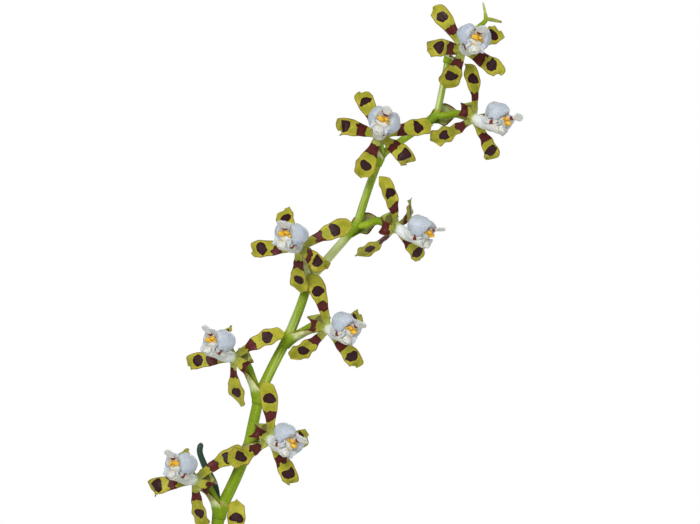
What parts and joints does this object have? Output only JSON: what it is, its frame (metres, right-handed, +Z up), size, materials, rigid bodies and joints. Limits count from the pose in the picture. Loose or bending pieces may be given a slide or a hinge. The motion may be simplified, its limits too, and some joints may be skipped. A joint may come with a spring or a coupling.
{
  "type": "potted oncidium orchid",
  "caption": "Potted orchid in flower: clay pot of bark, pseudobulbs with strap leaves and a tall zigzag spray of yellow blooms barred maroon, with white hooded lips.",
  "frame": {"origin": "middle of the flat underside of the pot", "axes": "+Z up, -Y to the front, the side that the blooms face, +X to the side that the spray leans to"},
  "size_m": [0.2639, 0.2898, 0.4559],
  "materials": {
    "clay": "unglazed terracotta, matt and slightly sandy",
    "bark": "coarse composted bark chips, damp and matt",
    "root": "silvery grey spongy skin, matt",
    "pseudobulb": "smooth waxy green skin, faintly ridged",
    "leaf": "leathery green, satin, with fine lengthwise veins",
    "stem": "fresh green, satin, paler at the nodes",
    "tepal": "waxy yellow-green with a maroon band and a dark purple-brown spot",
    "lip": "waxy white with a lavender shade and a yellow ridge",
    "stake": "dark green plastic-coated wire",
    "tie": "soft green foam band, matt"
  },
  "bodies": {
    "root": {"pot": "clay", "potting_bark": "bark", "rhizome_roots": "root", "pseudobulb_1": "pseudobulb", "pseudobulb_2": "pseudobulb", "pseudobulb_3": "pseudobulb", "leaf_1": "leaf", "leaf_2a": "leaf", "leaf_2b": "leaf", "leaf_3a": "leaf", "leaf_3b": "leaf", "basal_leaf_1": "leaf", "basal_leaf_2": "leaf", "basal_leaf_3": "leaf", "new_shoot": "leaf", "spike": "stem", "stake": "stake", "stem_tie": "tie", "bloom_01_tepals": "tepal", "bloom_01_lip": "lip", "bloom_02_tepals": "tepal", "bloom_02_lip": "lip", "bloom_03_tepals": "tepal", "bloom_03_lip": "lip", "bloom_04_tepals": "tepal", "bloom_04_lip": "lip", "bloom_05_tepals": "tepal", "bloom_05_lip": "lip", "bloom_06_tepals": "tepal", "bloom_06_lip": "lip", "bloom_07_tepals": "tepal", "bloom_07_lip": "lip", "bloom_08_tepals": "tepal", "bloom_08_lip": "lip", "bloom_09_tepals": "tepal", "bloom_09_lip": "lip", "bloom_10_tepals": "tepal", "bloom_10_lip": "lip", "bloom_11_tepals": "tepal", "bloom_11_lip": "lip", "bloom_12_tepals": "tepal", "bloom_12_lip": "lip"}
  },
  "joints": []
}
